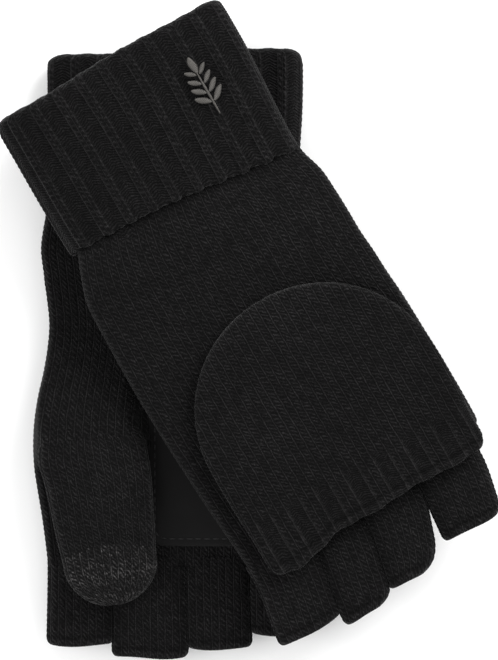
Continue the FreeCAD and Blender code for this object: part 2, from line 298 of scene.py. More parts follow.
def tip_knit(wale, course, s):
    height, wale, rib, ribbed = plain_knit(wale, course, s)
    return height * TIP_STITCH_HIGH / STITCH_HIGH, wale, rib, ribbed


def cuff_rib(rib, course, s):
    """Two raised knit columns, then two sunk purl columns that are pulled wider."""
    wale = 4 * np.floor(rib) + np.interp(rib % 1, [0, KNIT_SHARE, 1], [0, 2, 4])
    raised = raised_share(rib)
    height = raised * (RIB_HIGH + RIB_STITCH_HIGH * plain_stitches(wale, course, RIB_SLANT))
    height = height + (1 - raised) * PURL_HIGH * purl_stitches(wale, course)
    return height, wale, rib, np.ones_like(rib)


def hem_rib(start, end):
    """Plain stitches that turn to a shallow rib between the stations start and end."""
    def pattern(wale, course, s):
        share = smoothstep(start, end, s)
        rib = np.floor(wale / 4) + np.interp((wale / 4) % 1, [0, HEM_KNIT_SHARE, 1], [0, KNIT_SHARE, 1])
        sunk = share * (1 - raised_share(rib))
        height = (1 - sunk) * STITCH_HIGH * plain_stitches(wale, course)
        height = height + sunk * (PURL_HIGH * purl_stitches(wale, course) - HEM_DEEP)
        return height, wale, rib, share
    return pattern


def ripples(w, s, size, seed):
    """Slow unevenness of soft fabric, the same every run."""
    total = 0
    for k in range(4):
        a, b = 0.055 + 0.031 * k + 0.007 * seed, 0.048 + 0.023 * ((k * 3 + seed) % 4)
        total = total + np.sin(a * w + 1.7 * k + seed) * np.sin(b * s + 2.3 * k - seed) / (1 + 0.5 * k)
    return size * total


# Mesh making

def stadium(t, wide, high):
    """A flat tube's cross-section: w and n at a share t round it, from the middle of its palm side."""
    high = np.minimum(high, wide * 0.98)
    flat = wide - high
    length = 4 * flat + 2 * np.pi * high
    d = (t % 1) * length
    right = (d - flat) / high
    left = (d - 3 * flat - np.pi * high) / high
    parts = [
        (d < flat, d, high),
        (d < flat + np.pi * high, flat + high * np.sin(right), high * np.cos(right)),
        (d < 3 * flat + np.pi * high, 2 * flat + np.pi * high - d, -high),
        (d < 3 * flat + 2 * np.pi * high, -flat - high * np.sin(left), -high * np.cos(left)),
    ]
    where = [np.broadcast_to(p[0], d.shape) for p in parts]
    w = np.select(where, [np.broadcast_to(p[1], d.shape) for p in parts], d - length)
    n = np.select(where, [np.broadcast_to(p[2], d.shape) for p in parts], np.broadcast_to(high, d.shape))
    return w, n, length


def path(step, *runs):
    """Stations and insets along a wall's profile. A run is ("line", s, inset) or ("turn", s, inset)."""
    s, inset = [runs[0][1]], [runs[0][2]]
    for kind, to_s, to_inset in runs[1:]:
        s0, i0 = s[-1], inset[-1]
        if kind == "line":
            count = max(2, round(abs(to_s - s0) / step))
            share = np.arange(1, count + 1) / count
            s += list(s0 + (to_s - s0) * share)
            inset += list(i0 + (to_inset - i0) * share)
        else:
            radius = abs(to_inset - i0) / 2
            middle = (i0 + to_inset) / 2
            outward = 1 if i0 < to_inset else -1
            for a in np.linspace(0, np.pi, 10)[1:]:
                s.append(s0 + outward * radius * math.sin(a))
                inset.append(middle + (i0 - middle) * math.cos(a))
    return np.array(s), np.array(inset)


def grid_mesh(name, points, fields, flip=False, close_start=False, close_end=False):
    """A mesh from a grid of world points that is joined round its second direction."""
    rows, columns = points.shape[:2]
    index = np.arange(rows * columns).reshape(rows, columns)
    beside = np.roll(index, -1, axis=1)
    faces = np.stack([index[:-1], index[1:], beside[1:], beside[:-1]], -1).reshape(-1, 4).tolist()
    if close_start:
        faces.append(index[0].tolist())
    if close_end:
        faces.append(index[-1][::-1].tolist())
    return add_mesh(name, points.reshape(-1, 3), faces, flip, fields)


def add_mesh(name, points, faces, flip, fields):
    """A smooth mesh object with one number per vertex for each of its fields."""
    if flip:
        faces = [face[::-1] for face in faces]
    mesh = bpy.data.meshes.new(name)
    mesh.from_pydata(points.tolist(), [], faces)
    for title, values in fields.items():
        attribute = mesh.attributes.new(title, "FLOAT", "POINT")
        attribute.data.foreach_set("value", np.ascontiguousarray(values, np.float32).ravel())
    mesh.shade_smooth()
    obj = bpy.data.objects.new(name, mesh)
    bpy.context.scene.collection.objects.link(obj)
    return obj


def normals_of(points):
    """Unit normals of a grid of points that is joined round its second direction."""
    round_way = np.roll(points, -1, axis=1) - np.roll(points, 1, axis=1)
    along = np.gradient(points, axis=0)
    normal = np.cross(round_way, along)
    size = np.linalg.norm(normal, axis=-1, keepdims=True)
    return normal / np.maximum(size, 1e-12)


def knit_tube(m, name, s, inset, left, right, front, back, pattern=plain_knit, pitch=WALE, course=COURSE,
              bend=None, steady=True, crown=0.1, soft=0.0, fade=None, lip=None, shade=None, **closing):
    """A flat knitted tube, as a mesh. s and inset are its wall's profile. left, right, front and back are
    functions of s for its sides and its palm and back levels. crown makes it fuller along its middle and
    soft thins it towards its sides. bend moves (w, s, n) before the stitches are raised, fade lowers them
    by station and lip is the end of a rolled edge. shade darkens or lightens the wool by station and by how
    far across it is, -1 to 1. With steady, every row has the same number of stitches; otherwise they keep
    their width and the columns run out at the sides, as where a knitter decreases."""
    lefts, rights, fronts, backs = (np.asarray(f(s), float)[:, None] for f in (left, right, front, back))
    wide = np.maximum((rights - lefts) / 2 - inset[:, None], 0.3)
    high = np.maximum((fronts - backs) / 2 - inset[:, None], 0.2)
    around = 2 * (rights - lefts).max() + (np.pi - 2) * (fronts - backs).max()
    count = round(around / pitch)
    columns = count * round(pitch / STEP)
    t = (np.arange(columns) / columns)[None, :]
    w, n, length = stadium(t, wide, high)
    across = w / wide
    out = np.abs(across)
    n = n * (1 + crown * (1 - out**2)) * (1 - soft * out**5) + (fronts + backs) / 2
    w = w + (rights + lefts) / 2
    walk = np.concatenate([[0], np.cumsum(np.hypot(np.diff(s), np.diff(inset)))])
    rows = np.broadcast_to((walk / course)[:, None], w.shape)
    if steady:
        wale = m.palm * np.broadcast_to(t * count, w.shape)
    else:
        from_middle = ((t + 0.25) % 0.5) - 0.25
        wale = m.palm * from_middle * length / pitch
    stations = np.broadcast_to(s[:, None], w.shape)
    height, wale, rib, ribbed = pattern(wale, rows, stations)
    if fade:
        height = height * fade(stations)
    # shade carries each piece's painted light and shade into the wool's colour
    shading = shade(stations, across) if shade else np.ones_like(w)
    if lip:
        on_face = 1 - np.clip(out, 0, 1) ** 4
        rolled = np.exp(-((stations - lip + 1.3) ** 2))
        crease = np.exp(-(((stations - lip + 3.6) / 0.8) ** 2))
        height = height + on_face * (LIP_HIGH * rolled - LIP_CREASE * crease)
        # Painted light on the rolled lip and painted shade in the crease behind it
        shading = shading * (1 + 0.3 * rolled - 0.4 * crease)
    moved = bend(w, stations, n) if bend else (w, stations, n)
    points = m.world(*moved)
    normals = normals_of(points)
    # how far the surface turns from facing through the hand, which the wool's painted sheen follows
    turned = 1 - np.abs(normals @ m.through)
    points = points - normals * (height * MM * m.palm)[..., None]
    points[..., 2] = np.maximum(points[..., 2], 0)  # what rests on the floor is pressed flat
    fields = {"wale": wale, "course": rows, "rib": rib, "ribbed": ribbed, "shade": shading,
              "turned": turned}
    return grid_mesh(f"{m.name}_{name}", points, fields, flip=m.palm < 0, **closing)


def finish_piece(m, obj, body, material, slot, *nodes):
    """Gives a piece its material and its body, and hides the mitten's CAD nodes that it stands for."""
    obj.data.materials.append(material)
    if body:
        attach(obj, f"{m.name}_{body}")
    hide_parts(*(f"{m.name}_{node}" for node in nodes))


# Materials

class Shader:
    """A new material's nodes, with short ways to add to them. Values are numbers, colours or sockets."""

    def __init__(self, name):
        self.material = bpy.data.materials.new(name)
        self.material.use_nodes = True
        self.nodes, self.links = self.material.node_tree.nodes, self.material.node_tree.links
        self.inputs = self.nodes["Principled BSDF"].inputs
        self.place = self.nodes.new("ShaderNodeTexCoord").outputs["Object"]

    def put(self, value, socket):
        if isinstance(value, tuple):
            socket.default_value = (*value, 1) if len(socket.default_value) == 4 else value
        elif isinstance(value, (int, float)):
            socket.default_value = value
        else:
            self.links.new(value, socket)

    def maths(self, kind, a, b=0.0):
        node = self.nodes.new("ShaderNodeMath")
        node.operation = kind
        self.put(a, node.inputs[0])
        self.put(b, node.inputs[1])
        return node.outputs[0]

    def plus(self, a, b):
        return self.maths("ADD", a, b)

    def minus(self, a, b):
        return self.maths("SUBTRACT", a, b)

    def times(self, a, b):
        return self.maths("MULTIPLY", a, b)

    def mix_numbers(self, share, a, b):
        """a where share is 0 and b where it is 1."""
        return self.plus(a, self.times(share, self.minus(b, a)))

    def scaled(self, value, low, high):
        """Maps 0 to 1 onto low to high."""
        return self.plus(low, self.times(value, high - low))

    def between(self, value, low, high):
        """A smooth step up from low to high."""
        node = self.nodes.new("ShaderNodeMapRange")
        node.interpolation_type = "SMOOTHSTEP"
        self.put(value, node.inputs["Value"])
        node.inputs["From Min"].default_value = low
        node.inputs["From Max"].default_value = high
        return node.outputs["Result"]

    def field(self, name):
        node = self.nodes.new("ShaderNodeAttribute")
        node.attribute_name = name
        return node.outputs["Fac"]

    def noise(self, scale, detail=2.0, roughness=0.5):
        node = self.nodes.new("ShaderNodeTexNoise")
        node.inputs["Scale"].default_value = scale
        node.inputs["Detail"].default_value = detail
        node.inputs["Roughness"].default_value = roughness
        self.links.new(self.place, node.inputs["Vector"])
        return node.outputs["Fac"]

    def patchy(self, scale, low, high, detail=2.0):
        """A value that wanders between low and high, in patches of 1 / scale metres."""
        return self.scaled(self.noise(scale, detail), low, high)

    def ramp(self, value, *stops):
        """A colour ramp through (place, colour) stops."""
        node = self.nodes.new("ShaderNodeValToRGB")
        elements = node.color_ramp.elements
        elements[0].position, elements[0].color = stops[0][0], (*stops[0][1], 1)
        elements[1].position, elements[1].color = stops[-1][0], (*stops[-1][1], 1)
        for place, colour in stops[1:-1]:
            elements.new(place).color = (*colour, 1)
        self.put(value, node.inputs["Fac"])
        return node.outputs["Color"]

    def mix(self, share, a, b, kind="MIX"):
        node = self.nodes.new("ShaderNodeMix")
        node.data_type, node.blend_type = "RGBA", kind
        for value, socket in ((share, node.inputs[0]), (a, node.inputs[6]), (b, node.inputs[7])):
            self.put(value, socket)
        return node.outputs[2]

    def lit_by(self, colour, tone):
        """A colour made brighter or darker by a tone."""
        grey = self.nodes.new("ShaderNodeCombineXYZ")
        for socket in grey.inputs:
            self.links.new(tone, socket)
        return self.mix(1.0, colour, grey.outputs[0], "MULTIPLY")

    def chance(self, wale_cells, course_cells):
        """A random value for each cell, with so many cells to a column and a row of stitches."""
        cell = self.nodes.new("ShaderNodeCombineXYZ")
        for socket, name, cells in zip(cell.inputs, ("wale", "course"), (wale_cells, course_cells)):
            self.put(self.maths("FLOOR", self.times(self.field(name), cells)), socket)
        node = self.nodes.new("ShaderNodeTexWhiteNoise")
        self.links.new(cell.outputs[0], node.inputs["Vector"])
        return node.outputs["Value"]

    def wave(self, turns):
        return self.scaled(self.maths("COSINE", self.times(turns, 2 * math.pi)), 0.5, 1.0)

    def zigzag(self, value):
        doubled = self.times(self.maths("FRACT", value), 2.0)
        return self.maths("ABSOLUTE", self.minus(doubled, 1.0))

    def bump(self, height, strength, distance):
        node = self.nodes.new("ShaderNodeBump")
        node.inputs["Strength"].default_value = strength
        node.inputs["Distance"].default_value = distance
        self.links.new(height, node.inputs["Height"])
        self.links.new(node.outputs[0], self.inputs["Normal"])

    def finish(self, colour, roughness, specular, sheen):
        self.put(colour, self.inputs["Base Color"])
        self.put(roughness, self.inputs["Roughness"])
        self.inputs["Specular IOR Level"].default_value = specular
        self.inputs["Sheen Weight"].default_value = sheen
        self.inputs["Sheen Roughness"].default_value = 0.35
        return self.material


def wool(name, deep_shade, mid, light, marl=0.0, slant=SLANT):
    """Brushed wool, each stitch a little different, dark between the stitches with painted shade and pale
    on their hairy tops with painted light. With marl, about that share of the yarn is pale, more in some
    rows than in others."""
    sh = Shader(name)
    ribbed, turned = sh.field("ribbed"), sh.between(sh.field("turned"), 0.15, 0.95)
    wale = sh.plus(sh.field("wale"), sh.patchy(260.0, -0.12, 0.12, 1.0))
    course = sh.plus(sh.field("course"), sh.patchy(330.0, -0.5, 0.5))

    # Plain stitches: in each column a line and a row of slanted strokes
    along = sh.maths("FRACT", sh.minus(wale, LINE_AT))
    from_line = sh.maths("MINIMUM", along, sh.minus(1.0, along))
    line = sh.minus(1.0, sh.between(from_line, 0.0, LINE_WIDE))
    line = sh.times(line, sh.patchy(300.0, 0.3, 1.7))
    leg = sh.times(sh.between(from_line, 0.12, 0.24), sh.patchy(300.0, -0.2, 1.7))
    slip = sh.plus(sh.times(wale, slant), sh.patchy(500.0, -0.5, 0.5))
    stroke = sh.maths("POWER", sh.wave(sh.minus(course, slip)), 1.8)
    # Where the tube turns away, the stitches fade under the painted sheen
    knit = sh.mix_numbers(turned, sh.maths("MAXIMUM", line, sh.times(leg, stroke)), 0.45)

    # Purl stitches, in the sunk columns of a rib, and a ridge along the edge of its raised ones, bumped and
    # painted paler as a highlight
    slanting = sh.times(sh.zigzag(sh.times(wale, 0.5)), PURL_SLANT)
    purl = sh.times(sh.wave(sh.minus(sh.times(course, 2.0), slanting)), sh.patchy(450.0, 0.1, 1.8))
    in_rib = sh.maths("FRACT", sh.plus(sh.field("rib"), 0.5 - KNIT_SHARE / 2))
    off, edge = sh.maths("ABSOLUTE", sh.minus(in_rib, 0.5)), KNIT_SHARE / 2
    sunk = sh.times(ribbed, sh.between(off, edge - 0.02, edge + 0.03))
    from_edge = sh.maths("ABSOLUTE", sh.minus(off, edge - 0.035))
    ridge_highlight = sh.times(ribbed, sh.minus(1.0, sh.between(from_edge, 0.0, 0.05)))

    pattern = sh.plus(sh.times(knit, sh.minus(1.0, sunk)), sh.times(sh.times(purl, 0.85), sunk))
    pattern = sh.plus(pattern, sh.times(ridge_highlight, 0.5))
    fibre = sh.between(sh.noise(1500.0, 2.0, 0.7), 0.3, 0.7)
    tone = sh.times(sh.scaled(sh.chance(2.0, 1.0), 0.8, 1.15), sh.patchy(30.0, 0.7, 1.2, 3.0))
    # The shade field is painted light and shade from each piece
    tone = sh.times(tone, sh.times(sh.field("shade"), sh.scaled(fibre, 0.35, 1.65)))
    # Painted sheen where the tube turns away and painted shade in the sunk columns; the rib's paler tone is
    # its yarn's own
    for share, at_full in ((turned, 1.0 + FUZZ_SHEEN), (ribbed, RIB_TONE), (sunk, PAINTED_PURL_SHADE)):
        tone = sh.times(tone, sh.scaled(share, 1.0, at_full))
    # Painted shade and light: the stitch pattern runs from the deep tone in the gaps to the light tone on
    # the yarn's tops
    colour = sh.lit_by(sh.ramp(pattern, (0.0, deep_shade), (0.4, mid), (1.0, light)), tone)
    if marl:
        in_row = sh.scaled(sh.chance(0.0, 1.0), 1 - 0.4 * marl, 1 - 2.0 * marl)
        pale = sh.between(sh.minus(sh.chance(2.0, 2.0), in_row), 0.0, 0.4)
        colour = sh.mix(sh.times(pale, sh.times(knit, fibre)), colour, PALE_YARN)
    sh.bump(sh.plus(pattern, sh.times(fibre, 0.6)), 0.7, 0.0004)
    return sh.finish(colour, sh.scaled(fibre, 0.75, 1.0), 0.06, SHEEN)


def suede(name, dark, pale):
    """Matt brushed suede, with a fine nap and faint cloudy shading where the nap lies differently."""
    sh = Shader(name)
    nap = sh.noise(2600.0, 3.0, 0.65)
    shade = sh.plus(sh.times(nap, 0.6), sh.times(sh.noise(60.0, 3.0), 0.4))
    sh.bump(nap, 0.4, 0.0002)
    return sh.finish(sh.ramp(shade, (0.25, dark), (0.8, pale)), sh.scaled(nap, 0.7, 0.95), 0.12, SHEEN)


def thread(name, dark, pale, roughness):
    """Sewing or embroidery thread, with its twist as fine slanted bands."""
    sh = Shader(name)
    bands = sh.nodes.new("ShaderNodeTexWave")
    bands.bands_direction = "DIAGONAL"
    bands.inputs["Scale"].default_value = 900.0
    bands.inputs["Distortion"].default_value = 1.5
    sh.links.new(sh.place, bands.inputs["Vector"])
    twist, patchy = bands.outputs["Fac"], sh.noise(500.0, 3.0)
    colour = sh.ramp(sh.plus(sh.times(twist, 0.5), sh.times(patchy, 0.5)), (0.2, dark), (0.8, pale))
    sh.bump(twist, 0.5, 0.0001)
    return sh.finish(colour, sh.scaled(patchy, roughness, roughness + 0.2), 0.2, SHEEN)


RIB_WOOL = wool("rib_wool", *DARK_WOOL, slant=RIB_SLANT)
PLAIN_WOOL = wool("plain_wool", *DARK_WOOL)
TIP_WOOL = wool("tip_wool", *TIP_TONES, marl=0.4)
SUEDE = suede("palm_suede", *SUEDE_TONES)
PATCH_THREAD = thread("patch_thread", *PATCH_THREAD_TONES, 0.6)
EMBLEM_THREAD = thread("emblem_thread", *EMBLEM_TONES, 0.45)
SEAM_WOOL = thread("seam_wool", *SEAM_TONES, 0.8)


# Pieces of one mitten

def turnup_end(m):
    """Where the cuff's turned-up edge crosses the middle of the hand, how much further it is at the right
    side, and half its width."""
    w, s, _ = m.local("cuff_turnup")
    left, right = (s[side].max() for side in (w < w.min() + 3, w > w.max() - 3))
    return (left + right) / 2, (right - left) / 2, (w.max() - w.min()) / 2


def make_cuff(m):
    w, _, _ = m.local("cuff_turnup")
    end, slope, half = turnup_end(m)
    palm, back = CUFF_LEVELS[m.name]
    palm_in, back_in = CUFF_IN[m.name]
    fold = FOLD[m.name]

    def edge(side):
        def at(s):
            near = np.clip((CUFF_CORNER - s) / CUFF_CORNER, 0, 1)
            corner = CUFF_CORNER * (1 - np.sqrt(1 - near**2)) + 0.8 * smoothstep(20, end, s)
            return middle_of(w) + side * (half - corner + 0.2)
        return at

    def front(s):
        return palm - palm_in * (1 - s / end)

    def behind(s):
        return back + back_in * (1 - s / end)

    def bend(w, s, n):
        share = smoothstep(6, end, s)
        lean = slope * w / half
        scallop = 0.35 * np.sin(2 * np.pi * w / RIB) * smoothstep(end - 4, end, s)
        wavy = 0.8 * np.sin(w / 17 + m.palm) * share
        sway = ripples(w, s, 0.45, 3 + m.palm) * share
        fold_wave = (0.5 * np.sin(w / 11 + 2 * m.palm) + FOLD_TILT[m.name] * w / half) * (1 - share)
        aside = w + 0.5 * np.sin(s / 13) + 0.6 * np.sin(w / 19 + s / 23)
        return aside, s + (lean + scallop) * share + wavy + fold_wave, n + sway

    def fade(s):
        return 0.25 + 0.75 * smoothstep(1.0, 7.0, s)

    s, inset = path(FINE_STEP, ("line", 12, fold), ("line", fold / 2, fold), ("turn", fold / 2, 0.0),
                    ("line", end - 0.9, 0.0), ("turn", end - 0.9, CUFF_WALL), ("line", end - 12, CUFF_WALL))
    # Painted light and shade: the turn-up is painted paler towards the little-finger side and darker
    # towards the thumb side
    turnup = knit_tube(m, "turnup_rib", s, inset, edge(-1), edge(1), front, behind,
                       cuff_rib, pitch=RIB, course=CUFF_COURSE, bend=bend, crown=0.04, fade=fade,
                       shade=lambda s, across: CUFF_TONE + PAINTED_LIGHT_ACROSS * across)
    finish_piece(m, turnup, "hand", RIB_WOOL, "rib_knit", "cuff_turnup")

    def inside(outer, side):
        """Follows the turn-up from the fold, then closes on the hand."""
        def at(s):
            share = smoothstep(10, end - 4, s)
            return (1 - share) * (outer(s) - side * (fold + 0.3)) + share * side * 2.9
        return at

    drawn_in = fold - 1.0
    s, inset = path(STEP, ("line", end + 5, 0), ("line", 9, 0))
    inner = knit_tube(m, "inner_rib", s, inset, lambda s: edge(-1)(s) + drawn_in,
                      lambda s: edge(1)(s) - drawn_in, inside(front, 1), inside(behind, -1), cuff_rib,
                      pitch=RIB, course=CUFF_COURSE, crown=0.04)
    finish_piece(m, inner, "hand", RIB_WOOL, "rib_knit", "cuff_inner")


def thumb_base(m):
    """The middle of the thumb's base, w and s, and its lean towards the little finger in radians."""
    hinge = joint(m.name + ("_thumb_lift" if m.name == "lower" else "_thumb_swing"))
    at = (np.array(hinge["pos_m"]) - m.origin) / MM
    w, s, _ = m.local("thumb_tip")
    tip = middle_of(w), middle_of(s)
    base = at @ m.across, at @ m.along
    return (*base, math.atan2(tip[0] - base[0], tip[1] - base[1]))


def thumb_rise(m, w, s):
    """How far the palm swells up into the base of the thumb."""
    base_w, base_s, lean = thumb_base(m)
    across = (w - base_w) * math.cos(lean) - (s - base_s) * math.sin(lean)
    along = (w - base_w) * math.sin(lean) + (s - base_s) * math.cos(lean)
    sides = smoothstep(-26.5, -18.5, across) * (1 - smoothstep(14.5, 25, across))
    return GUSSET_RISE * smoothstep(-46, -4, along) * (1 - smoothstep(3, 12, along)) * sides


def make_hand(m):
    left, right = m.side_lines("hand")
    start, _ = m.ends("hand")
    gaps = []
    for one, other in zip(FINGERS, FINGERS[1:]):
        base, _ = m.ends(one + "_finger")
        gaps.append((m.sides(one + "_finger", base)[1] + m.sides(other + "_finger", base)[0]) / 2)
    high = curve_through((50, 2.3), (62, 2.5), (76, 3.0), (100, HAND_HIGH), (210, HAND_HIGH))
    half = (right(150.0) - left(150.0)) / 2

    def bend(w, s, n):
        palm_side = smoothstep(-0.3, 2.2, n)
        back_side = smoothstep(-0.3, 2.2, -n)
        groove = sum(np.exp(-(((w - gap) / 2.2) ** 2)) for gap in gaps) * smoothstep(197, 209, s)
        n = n * (1 - 0.45 * groove) + palm_side * thumb_rise(m, w, s)
        full = (1 - (w / half) ** 2) * smoothstep(64, 84, s) * (1 - smoothstep(96, 122, s))
        if m.name == "upper":
            uneven = ripples(w, s, 0.32, 5) * (1 - smoothstep(105, 122, s))
            return w, s, n - back_side * (1.5 * full + uneven)
        uneven = ripples(w, s, 0.28, 2) * (1 - smoothstep(150, 170, s))
        return w, s, n + palm_side * (full + uneven)

    def left_side(s):
        below_cuff = smoothstep(62, 65.5, s) * (1 - smoothstep(70, 90, s))
        return left(s) - 0.3 - (2.2 * below_cuff if m.name == "lower" else 0)

    little_base, _ = m.ends("little_finger")
    shoulder = float(right(KNUCKLES)) - m.sides("little_finger", little_base)[1]

    def right_side(s):
        """The CAD side, drawn in at the knuckles to where the little finger starts."""
        return right(s) + 0.3 - shoulder * smoothstep(KNUCKLES - 9, KNUCKLES + 1, s)

    turned_up, slope, _ = turnup_end(m)

    # Painted light and shade: paler towards the little-finger side, darker towards the thumb side, and
    # painted shade just past the cuff's edge
    def shade(s, across):
        past = s - turned_up - slope * across
        return (1 + PAINTED_LIGHT_ACROSS * across) * (1 - (1 - PAINTED_CREASE_SHADE) * (1 - smoothstep(0.8, 4.0, past)))

    s, inset = path(STEP, ("line", start - 6, 0), ("line", KNUCKLES + 1.2, 0))
    hand = knit_tube(m, "plain_hand", s, inset, left_side, right_side, high,
                     lambda s: -high(s), bend=bend, crown=0.08, shade=shade)
    finish_piece(m, hand, "hand", PLAIN_WOOL, "plain_knit", "hand", "thumb_gusset")


def finger_lines(m):
    """Each finger's sides at its base and at its end. At the base, fingers that are side by side meet."""
    base = [list(m.sides(f + "_finger", m.ends(f + "_finger")[0])) for f in FINGERS]
    end = [list(m.sides(f + "_finger", m.ends(f + "_finger")[1])) for f in FINGERS]
    for one, other in zip(base, base[1:]):
        one[1] = other[0] = (one[1] + other[0]) / 2
    for one, other in zip(end, end[1:]):
        if other[0] - one[1] < 2.5:
            one[1] = other[0] = (one[1] + other[0]) / 2
    for sides in base + end:
        sides[0] -= 0.4
        sides[1] += 0.4
    return dict(zip(FINGERS, zip(base, end)))


def make_fingers(m):
    w, _, _ = m.local("hand")
    knuckle = m.point(middle_of(w), KNUCKLES, 0)
    longest = m.ends("middle_finger")[1]

    def line(a, b, side, corner, end):
        def at(s):
            near = np.clip((s - end + corner) / corner, 0, 0.97)
            rounding = side * corner * (1 - np.sqrt(1 - near**2))
            return a + (b - a) * smoothstep(KNUCKLES + 4, longest, s) - rounding
        return at

    for finger, ((l0, r0), (l1, r1)) in finger_lines(m).items():
        start, end = m.ends(finger + "_finger")
        end += LIP_OUT
        right_corner = WORN_CORNERS.get(f"{m.name}_{finger}", FINGER_CORNER)

        def bend(w, s, n, start=start, end=end):
            return w, s - 0.5 * smoothstep(start, end, s) * np.sin(w / 5 + end), n

        def fade(s, end=end):
            return 1 - 0.85 * smoothstep(end - 3.5, end - 1.0, s)

        # Painted shade in the grooves where the fingers lie side by side
        def shade(s, across, left_free=finger == "index", right_free=finger == "little"):
            left_groove_shade = 0 if left_free else smoothstep(0.5, 1.0, -across)
            right_groove_shade = 0 if right_free else smoothstep(0.5, 1.0, across)
            return 1 - (1 - PAINTED_GROOVE_SHADE) * (left_groove_shade + right_groove_shade)

        s, inset = path(STEP, ("line", start - FINGER_IN_HAND, 0), ("line", end - 0.7, 0),
                        ("turn", end - 0.7, FINGER_WALL), ("line", end - FINGER_INSIDE, FINGER_WALL))
        tube = knit_tube(m, finger + "_knit", s, inset, line(l0, l1, -1, FINGER_CORNER, end),
                         line(r0, r1, 1, right_corner, end), level(FINGER_HIGH), level(-FINGER_HIGH),
                         pitch=FINGER_WALE, bend=bend, crown=0.3, soft=0.6, fade=fade, lip=end, shade=shade)
        finish_piece(m, tube, finger, PLAIN_WOOL, "plain_knit", finger + "_finger")
        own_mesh(tube)


def make_thumb(m):
    base_w, base_s, lean = thumb_base(m)
    wt, st, _ = m.local("thumb_tip")
    reach = max((wt - base_w) * math.sin(lean) + (st - base_s) * math.cos(lean))
    shoulder, tip_start = reach - THUMB_ROUND, reach - TIP_LONG
    if m.name == "lower":
        left_line = curve_through((-10, -13), (-4, -18), (2, -21.6), (8, -22.4), (14, -21.4), (39, -18.8),
                                  (50, -17.4))
        right_line = curve_through((-10, 12), (-4, 17), (3, 20.6), (12, 21.4), (36, 20.5), (50, 19.6))
    else:
        left_line = curve_through((-10, -12), (-4, -16), (3, -19.2), (20, -18.8), (46, -17.2))
        right_line = curve_through((-10, 12), (-4, 16), (3, 19.2), (20, 18.8), (46, 17.2))
    middle_level = curve_through((-10, 10.6), (0, 11.0), (10, 11.2), (35, 11.5), (52, 12.2), (70, 12.3))
    half_level = curve_through((-10, 0.8), (-2, 2.5), (7, 3.9), (30, 3.9), (50, 3.3), (60, 3.1))

    def narrowing(along):
        u = np.clip((along - shoulder) / (reach - shoulder), 0, 1)
        return np.sqrt(np.maximum(1 - u**2.2, 0))

    def side(line, other):
        def at(along):
            held = np.minimum(along, shoulder)
            middle = (line(held) + other(held)) / 2
            return middle + (line(held) - middle) * narrowing(along)
        return at

    def thickness(along):
        return half_level(along) * (0.12 + 0.88 * narrowing(along) ** 0.8)

    def bend(across, along, n):
        near_start = smoothstep(reach - 36, tip_start, along) * (1 - smoothstep(tip_start, reach, along))
        along = along + TIP_BOW * (1 - (across / 18) ** 2) * near_start
        w = base_w + across * math.cos(lean) + along * math.sin(lean)
        s = base_s - across * math.sin(lean) + along * math.cos(lean)
        return w, s, n + ripples(across, along, 0.2, 7)

    shape = dict(left=side(left_line, right_line), right=side(right_line, left_line),
                 front=lambda along: middle_level(along) + thickness(along),
                 back=lambda along: middle_level(along) - thickness(along),
                 bend=bend, crown=0.14, pitch=FINGER_WALE)
    s, inset = path(STEP, ("line", -10.0, 0), ("line", tip_start, 0))
    tube = knit_tube(m, "thumb_knit", s, inset, **shape)
    turn = np.linspace(0, 1, 60)
    s = np.concatenate([np.arange(tip_start - 0.6, shoulder, STEP),
                        shoulder + (reach - 0.1 - shoulder) * np.sin(turn * np.pi / 2)])
    tip = knit_tube(m, "thumb_tip_knit", s, np.zeros_like(s), pattern=tip_knit, course=TIP_COURSE,
                    close_end=True, **shape)
    finish_piece(m, tube, None, PLAIN_WOOL, "plain_knit", "thumb")
    bend_start = m.point(base_w - 5 * math.sin(lean), base_s - 5 * math.cos(lean), 11)
    bend_end = m.point(base_w + 10 * math.sin(lean), base_s + 10 * math.cos(lean), 11)
    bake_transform(tube)
    finish_piece(m, tip, "thumb", TIP_WOOL, "tip_knit", "thumb_tip")


